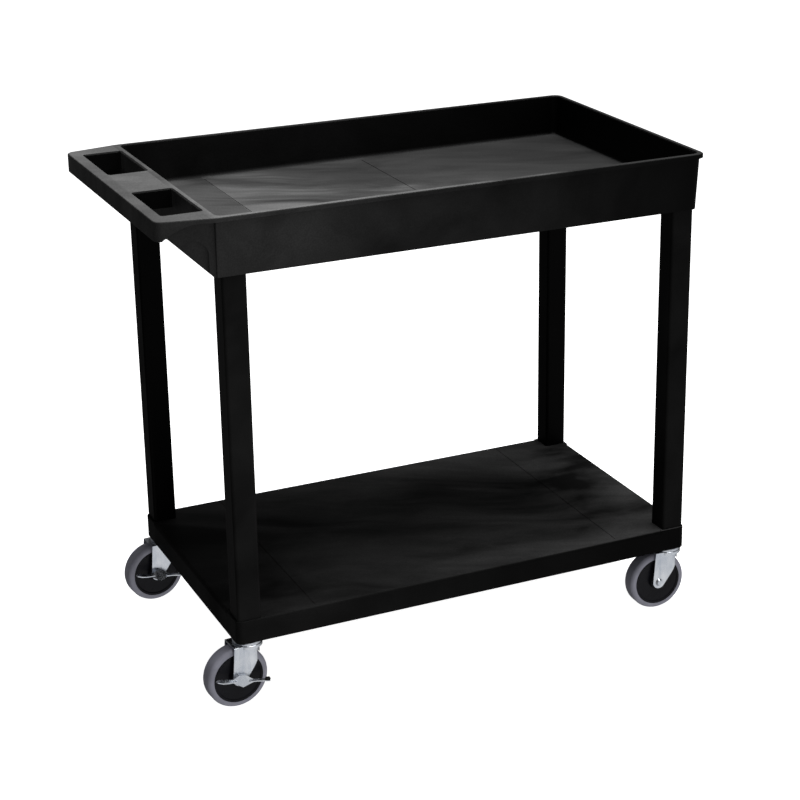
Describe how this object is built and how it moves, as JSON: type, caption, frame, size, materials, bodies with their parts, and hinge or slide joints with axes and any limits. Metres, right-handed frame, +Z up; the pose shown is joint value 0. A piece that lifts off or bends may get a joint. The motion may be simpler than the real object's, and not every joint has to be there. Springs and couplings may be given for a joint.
{
  "type": "food service trolley",
  "caption": "Utility service trolley: deep tub top with a moulded hand-hole push handle, flat lower shelf on square corner legs, swivel casters with grey tyres, some with a side brake.",
  "frame": {"origin": "on the floor, under the middle of the overall length and width", "axes": "+Z up, +X along the trolley away from its push handle, -Y is the front long side"},
  "size_m": [0.898, 0.488, 0.792],
  "materials": {
    "foam_plastic": "black moulded structural foam, faint flow swirls",
    "leg_plastic": "black extruded, satin",
    "socket_nylon": "black nylon",
    "zinc_steel": "bright zinc plate",
    "ball_steel": "polished",
    "core_plastic": "black satin moulding",
    "tyre_grey": "soft non-marking grey",
    "pad_rubber": "matte black"
  },
  "bodies": {
    "cart_frame": {"top_tub_shelf": "foam_plastic", "bottom_shelf": "foam_plastic", "stem_grip_rings": "zinc_steel", "leg_front_left": "leg_plastic", "stem_socket_front_left": "socket_nylon", "caster_stem_front_left": "zinc_steel", "race_cup_front_left": "zinc_steel", "leg_rear_left": "leg_plastic", "stem_socket_rear_left": "socket_nylon", "caster_stem_rear_left": "zinc_steel", "race_cup_rear_left": "zinc_steel", "leg_front_right": "leg_plastic", "stem_socket_front_right": "socket_nylon", "caster_stem_front_right": "zinc_steel", "race_cup_front_right": "zinc_steel", "leg_rear_right": "leg_plastic", "stem_socket_rear_right": "socket_nylon", "caster_stem_rear_right": "zinc_steel", "race_cup_rear_right": "zinc_steel"},
    "swivel_front_left": {"fork_front_left": "zinc_steel", "race_balls_front_left": "ball_steel", "axle_sleeve_front_left": "zinc_steel", "axle_bolt_front_left": "zinc_steel", "axle_nut_front_left": "zinc_steel"},
    "wheel_front_left": {"wheel_core_front_left": "core_plastic", "tyre_front_left": "tyre_grey"},
    "brake_front_left": {"brake_lever_front_left": "zinc_steel", "brake_pad_front_left": "pad_rubber"},
    "swivel_rear_left": {"fork_rear_left": "zinc_steel", "race_balls_rear_left": "ball_steel", "axle_sleeve_rear_left": "zinc_steel", "axle_bolt_rear_left": "zinc_steel", "axle_nut_rear_left": "zinc_steel"},
    "wheel_rear_left": {"wheel_core_rear_left": "core_plastic", "tyre_rear_left": "tyre_grey"},
    "brake_rear_left": {"brake_lever_rear_left": "zinc_steel", "brake_pad_rear_left": "pad_rubber"},
    "swivel_front_right": {"fork_front_right": "zinc_steel", "race_balls_front_right": "ball_steel", "axle_sleeve_front_right": "zinc_steel", "axle_bolt_front_right": "zinc_steel", "axle_nut_front_right": "zinc_steel"},
    "wheel_front_right": {"wheel_core_front_right": "core_plastic", "tyre_front_right": "tyre_grey"},
    "swivel_rear_right": {"fork_rear_right": "zinc_steel", "race_balls_rear_right": "ball_steel", "axle_sleeve_rear_right": "zinc_steel", "axle_bolt_rear_right": "zinc_steel", "axle_nut_rear_right": "zinc_steel"},
    "wheel_rear_right": {"wheel_core_rear_right": "core_plastic", "tyre_rear_right": "tyre_grey"}
  },
  "joints": [
    {"name": "swivel_front_left", "type": "hinge", "parent": "cart_frame", "child": "swivel_front_left", "pos_m": [-0.33425, -0.20625, 0.104], "axis": [0, 0, 1], "continuous": true},
    {"name": "roll_front_left", "type": "hinge", "parent": "swivel_front_left", "child": "wheel_front_left", "pos_m": [-0.3562, -0.20778, 0.05], "axis": [-0.0698, 0.9976, 0], "continuous": true},
    {"name": "brake_front_left", "type": "hinge", "parent": "swivel_front_left", "child": "brake_front_left", "pos_m": [-0.3562, -0.20778, 0.05], "axis": [-0.0698, 0.9976, 0], "range_deg": [0, 16]},
    {"name": "swivel_rear_left", "type": "hinge", "parent": "cart_frame", "child": "swivel_rear_left", "pos_m": [-0.33425, 0.20625, 0.104], "axis": [0, 0, 1], "continuous": true},
    {"name": "roll_rear_left", "type": "hinge", "parent": "swivel_rear_left", "child": "wheel_rear_left", "pos_m": [-0.35613, 0.20395, 0.05], "axis": [-0.1045, 0.9945, 0], "continuous": true},
    {"name": "brake_rear_left", "type": "hinge", "parent": "swivel_rear_left", "child": "brake_rear_left", "pos_m": [-0.35613, 0.20395, 0.05], "axis": [-0.1045, 0.9945, 0], "range_deg": [0, 16]},
    {"name": "swivel_front_right", "type": "hinge", "parent": "cart_frame", "child": "swivel_front_right", "pos_m": [0.41925, -0.20625, 0.104], "axis": [0, 0, 1], "continuous": true},
    {"name": "roll_front_right", "type": "hinge", "parent": "swivel_front_right", "child": "wheel_front_right", "pos_m": [0.39726, -0.20548, 0.05], "axis": [0.0349, 0.9994, 0], "continuous": true},
    {"name": "swivel_rear_right", "type": "hinge", "parent": "cart_frame", "child": "swivel_rear_right", "pos_m": [0.41925, 0.20625, 0.104], "axis": [0, 0, 1], "continuous": true},
    {"name": "roll_rear_right", "type": "hinge", "parent": "swivel_rear_right", "child": "wheel_rear_right", "pos_m": [0.39728, 0.2051, 0.05], "axis": [-0.0523, 0.9986, 0], "continuous": true}
  ]
}
